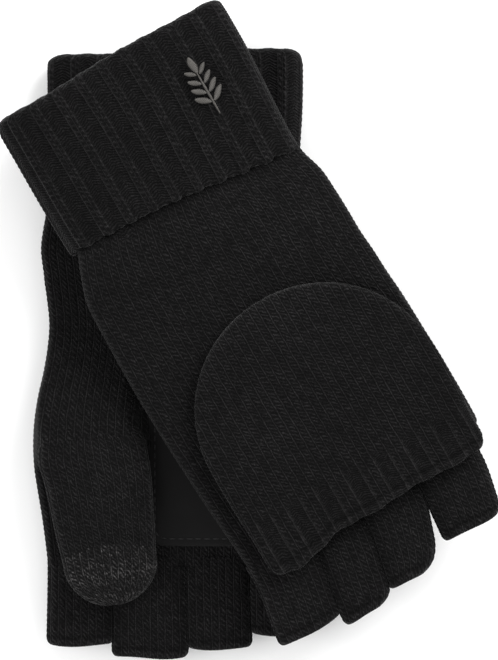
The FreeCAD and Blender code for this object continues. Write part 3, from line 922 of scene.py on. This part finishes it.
def make_cap(m):
    w, s, n = m.local("cap_front_panel")
    _, _, n_back = m.local("cap_back_panel")
    middle, half, tip = middle_of(w), (w.max() - w.min()) / 2 - 0.2, s.min()
    mouth = m.ends("cap_hem")[1]
    low, high = n.min(), n_back.max()
    room, flat = (high - low) / 2 - 0.75, (high + low) / 2
    shoulder = tip + CAP_ROUND
    hinge = KNUCKLES - 0.8

    def narrowing(s):
        u = np.clip((shoulder - s) / (shoulder - tip), 0, 1)
        return np.sqrt(np.maximum(1 - u**2.15, 0))

    def side(sign):
        def at(s):
            near = np.clip((s - mouth + MOUTH_CORNER) / MOUTH_CORNER, 0, 1)
            drawn_in = smoothstep(170, 206, s) + MOUTH_CORNER * (1 - np.sqrt(1 - near**2))
            return middle + sign * (half * np.maximum(narrowing(s), 0.02) - drawn_in)
        return at

    def thickness(s):
        from_rim = np.clip((s - tip) / CAP_PUFF, 0.02, 1)
        return room * np.sqrt(1 - (1 - from_rim) ** 2)

    def bend(w, s, n):
        back_side = smoothstep(-0.5, 1.5, n - flat)
        shift = (mouth - hinge) * back_side * smoothstep(185, mouth, s)
        swell = 0.5 * (1 - ((w - middle) / half) ** 2) * smoothstep(tip, tip + 40, s)
        edge = 0.45 * np.sin(w * 0.5) + 0.5 * np.sin(w * 0.17 + 1)
        edge = edge + MOUTH_DROOP * (1 - smoothstep(middle - half + 12, middle - half + 38, w))
        edge = edge * smoothstep(mouth - 12, mouth, s)
        lift = (1 - back_side) * (ripples(w, s, 0.25, 4) - swell * 0.4)
        return w, s - shift + edge * (1 - back_side), n + lift

    def fade(s):
        return 1 - 0.5 * smoothstep(mouth - 2.5, mouth - 1.0, s)

    # Paler at the rounded end, partly its brushed fuzz and partly painted light; painted shade towards the
    # mouth
    def shade(s, across):
        at_tip = 1 - smoothstep(tip + 2, tip + 22, s)
        return 1 + CAP_TIP_FUZZ_AND_LIGHT * at_tip + PAINTED_MOUTH_SHADE * smoothstep(tip + 35, mouth - 15, s)

    turn = np.linspace(0, 1, 150)
    s_round = tip + 0.05 + (shoulder - tip) * (1 - np.cos(turn * np.pi / 2))
    s_flat, inset_flat = path(STEP, ("line", shoulder + STEP, 0), ("line", mouth - 0.8, 0),
                              ("turn", mouth - 0.8, CAP_WALL), ("line", mouth - CAP_INSIDE, CAP_WALL))
    s = np.concatenate([s_round, s_flat])
    inset = np.concatenate([np.zeros_like(s_round), inset_flat])
    cap = knit_tube(m, "cap_knit", s, inset, side(-1), side(1), lambda s: flat + thickness(s),
                    lambda s: flat - thickness(s), hem_rib(HEM_START - 3, HEM_START + 3), bend=bend,
                    course=CAP_COURSE, steady=False, crown=0.05, soft=0.35, fade=fade, lip=mouth,
                    shade=shade, close_start=True)
    finish_piece(m, cap, None, PLAIN_WOOL, "plain_knit", "cap_back_panel", "cap_front_panel", "cap_hem")
    m.point(middle, 170, high - 1.8)
    m.point(middle, 170, low + 2.2)
    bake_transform(cap)


def make_patch(m):
    """The suede palm patch: a rounded rectangle with soft edges, lying on the palm."""
    w, s, n = m.local("palm_patch")
    mid_w, mid_s = middle_of(w), middle_of(s)
    half_w, half_s = (w.max() - w.min()) / 2, (s.max() - s.min()) / 2
    base = n.min() - 0.25
    angle = np.linspace(0, 2 * np.pi, 260, endpoint=False)
    inner = min(half_w, half_s) - 0.05
    depths = np.concatenate([[0, 0, 0.15, 0.4, 0.8], np.linspace(1.3, inner, 41)])
    raised = np.concatenate([[-0.8, 0.15, 0.6, 0.85], np.ones(42)])
    rings = []
    for depth, up in zip(depths, raised):
        a, b = half_w - depth, half_s - depth
        x, y = rounded_rectangle(angle, a, b, min(max(PATCH_CORNER - depth, 0.01), a, b))
        rings.append(np.stack([x, y, np.full_like(x, base + up * PATCH_THICK)]))
    grid = np.stack(rings)
    x, y, n = grid[:, 0], grid[:, 1], grid[:, 2]
    from_edge = np.minimum(half_w - np.abs(x), half_s - np.abs(y))
    n = n - 0.28 * np.exp(-(((from_edge - STITCH_INSET) / 0.9) ** 2))
    n = n + ripples(x + mid_w, y + mid_s, 0.12, 1)
    patch = grid_mesh(m.name + "_suede_patch", m.world(x + mid_w, y + mid_s, n), {}, flip=m.palm > 0,
                      close_end=True)
    finish_piece(m, patch, "hand", SUEDE, "suede", "palm_patch")

    a, b, r = half_w - STITCH_INSET, half_s - STITCH_INSET, PATCH_CORNER - STITCH_INSET
    length = 4 * (a + b) - 8 * r + 2 * np.pi * r
    count = round(length / STITCH_PITCH)
    top = base + PATCH_THICK - 0.14
    beads = []
    for i in range(count):
        angle = 2 * np.pi * (i + np.array([0, STITCH_LONG / STITCH_PITCH])) / count
        (x0, x1), (y0, y1) = rounded_rectangle(angle, a, b, r)
        beads.append(bead((mid_w + x0, mid_s + y0, top), (mid_w + x1, mid_s + y1, top), 0.24, 0.1, 0.1))
    line = join_beads(m, "patch_thread", beads)
    finish_piece(m, line, "hand", PATCH_THREAD, "patch_thread", "patch_stitching")


def rounded_rectangle(angle, a, b, r):
    """Points round a rounded rectangle of half sizes a and b, evenly spaced by length."""
    lengths = [2 * (b - r), 2 * (a - r)] * 2
    arc = np.pi * r / 2
    d = angle / (2 * np.pi) * (sum(lengths) + 4 * arc)
    x, y = np.zeros_like(d), np.zeros_like(d)
    sides = [((a, r - b), (0, 1), (a - r, b - r)), ((a - r, b), (-1, 0), (r - a, b - r)),
             ((-a, b - r), (0, -1), (r - a, r - b)), ((r - a, -b), (1, 0), (a - r, r - b))]
    at = 0.0
    for i, (start, way, corner) in enumerate(sides):
        run = (d >= at) & (d < at + lengths[i])
        x[run] = start[0] + way[0] * (d[run] - at)
        y[run] = start[1] + way[1] * (d[run] - at)
        at += lengths[i]
        run = (d >= at) & (d < at + arc)
        turn = (d[run] - at) / r + i * np.pi / 2
        x[run] = corner[0] + r * np.cos(turn)
        y[run] = corner[1] + r * np.sin(turn)
        at += arc
    return x, y


def bead(start, end, radius, sink=0.3, arch=0.0, sides=8, rings=7):
    """Points of a small rounded length of thread from start to end, as a grid of (w, s, n)."""
    start, end = np.array(start, float), np.array(end, float)
    way = end - start
    along = way / max(np.linalg.norm(way), 1e-9)
    aside = np.array([-along[1], along[0], 0])
    up = np.array([0, 0, 1.0])
    u = np.linspace(0, 1, rings)[:, None, None]
    a = np.linspace(0, 2 * np.pi, sides, endpoint=False)[None, :, None]
    swell = np.sqrt(np.maximum(1 - np.abs(2 * u - 1) ** 3, 0.02))
    bow = (arch * (1 - (2 * u - 1) ** 2) - sink * radius) * up
    return start + u * way + bow + radius * swell * (np.cos(a) * aside + np.sin(a) * up)


def join_beads(m, name, beads):
    """One mesh from many beads."""
    grid = np.stack(beads)
    index = np.arange(grid[..., 0].size).reshape(grid.shape[:3])
    beside = np.roll(index, -1, axis=2)
    quads = np.stack([index[:, :-1], beside[:, :-1], beside[:, 1:], index[:, 1:]], -1)
    faces = quads.reshape(-1, 4).tolist() + index[:, 0, ::-1].tolist() + index[:, -1].tolist()
    points = m.world(grid[..., 0], grid[..., 1], grid[..., 2]).reshape(-1, 3)
    return add_mesh(f"{m.name}_{name}", points, faces, m.palm > 0, {})


def make_emblem(m):
    """A generic leaf sprig in satin stitch: every leaf is a row of slanted threads over a low mound."""
    w, s, n = m.local("emblem")
    mid_w, top, bottom = middle_of(w), s.min(), s.max()
    face = n.max() + (0.3 if m.name == "lower" else 0.9)
    long = bottom - top
    beads = []

    def satin(w0, s0, w1, s1, wide):
        length = math.hypot(w1 - w0, s1 - s0)
        count = max(3, round(length / THREAD_PITCH))
        ux, uy = (w1 - w0) / length, (s1 - s0) / length
        for i in range(count):
            u = (i + 0.5) / count
            half = wide * math.sin(math.pi * (u * 0.94 + 0.03)) ** 0.75 + 0.12
            cw, cs = w0 + (w1 - w0) * u, s0 + (s1 - s0) * u
            slant = 0.45 * half
            a = (cw - uy * half - ux * slant, cs + ux * half - uy * slant, face)
            b = (cw + uy * half + ux * slant, cs - ux * half + uy * slant, face)
            beads.append(bead(a, b, 0.22, 0.2, -0.45 - 0.12 * half))

    satin(mid_w, bottom - 0.5, mid_w, top + long * 0.26, 0.42)
    satin(mid_w, top + long * 0.27, mid_w, top, 1.55)
    for i in range(LEAF_PAIRS):
        grown = 1.0 - 0.09 * (LEAF_PAIRS - 1 - i)
        at = bottom - long * (0.24 + 0.155 * (LEAF_PAIRS - 1 - i))
        reach, turn = LEAF_REACH * grown, math.radians(LEAF_ANGLE)
        for side in (-1, 1):
            root = mid_w + side * 0.7
            satin(root, at, root + side * reach * math.cos(turn), at - reach * math.sin(turn), 1.25 * grown)
    sprig = join_beads(m, "leaf_sprig", beads)
    finish_piece(m, sprig, "hand", EMBLEM_THREAD, "emblem_thread", "emblem")


def make_seam(m):
    """The linked seam that sews the cap on: a row of short slanted stitches over the knuckle line."""
    w, s, n = m.local("cap_seam")
    station, height = middle_of(s), middle_of(n)
    start, end = w.min() + SEAM_INSET, w.max() - SEAM_INSET
    count = round((end - start) / SEAM_PITCH)
    beads = []
    for i in range(count):
        at = start + (end - start) * (i + 0.5) / count
        beads.append(bead((at - 1.0, station - 0.35, height), (at + 1.0, station + 0.35, height), 0.62, 0))
    seam = join_beads(m, "knuckle_seam", beads)
    finish_piece(m, seam, "hand", SEAM_WOOL, "plain_knit", "cap_seam")


for mitten in (Mitten("lower"), Mitten("upper")):
    make_cuff(mitten)
    make_hand(mitten)
    make_fingers(mitten)
    make_thumb(mitten)
    make_cap(mitten)
    make_patch(mitten)
    make_emblem(mitten)
    make_seam(mitten)


# Floor, light and camera

def area_light(name, place, size, power):
    """A square light that shines on the middle of the pair."""
    light = bpy.data.lights.new(name, "AREA")
    light.shape, light.size, light.energy = "SQUARE", size, power
    obj = bpy.data.objects.new(name, light)
    obj.location = place
    obj.rotation_euler = (-obj.location).to_track_quat("-Z", "Y").to_euler()
    bpy.context.scene.collection.objects.link(obj)


def make_stage():
    size, z = 3.0, -0.0003
    corners = np.array([(-size, -size, z), (size, -size, z), (size, size, z), (-size, size, z)])
    floor = add_mesh("floor", corners, [[0, 1, 2, 3]], False, {})
    floor_paint = Shader("pale_floor")
    floor.data.materials.append(floor_paint.finish((0.9, 0.9, 0.9), 0.9, 0.1, 0.0))
    world = bpy.data.worlds.new("studio")
    world.use_nodes = True
    world.node_tree.nodes["Background"].inputs["Color"].default_value = (1, 1, 1, 1)
    world.node_tree.nodes["Background"].inputs["Strength"].default_value = 0.95
    bpy.context.scene.world = world
    area_light("key", (0.75, 0.85, 0.8), 0.8, 20)
    area_light("fill", (-0.9, -0.3, 0.9), 1.0, 9)
    bpy.context.scene.view_settings.view_transform = "Standard"


def make_camera():
    """Straight above the pair, from far enough off that it hardly shows perspective."""
    data = bpy.data.cameras.new("camera")
    data.sensor_width = 36.0
    data.lens = data.sensor_width * CAMERA_HIGH / FRAME_HEIGHT
    data.clip_end = 10
    camera = bpy.data.objects.new("camera", data)
    camera.location = (LOOK_AT[0] * MM, LOOK_AT[1] * MM, cad_bounds[1][2] * 0.75 + CAMERA_HIGH)
    bpy.context.scene.collection.objects.link(camera)
    bpy.context.scene.camera = camera


make_stage()
make_camera()
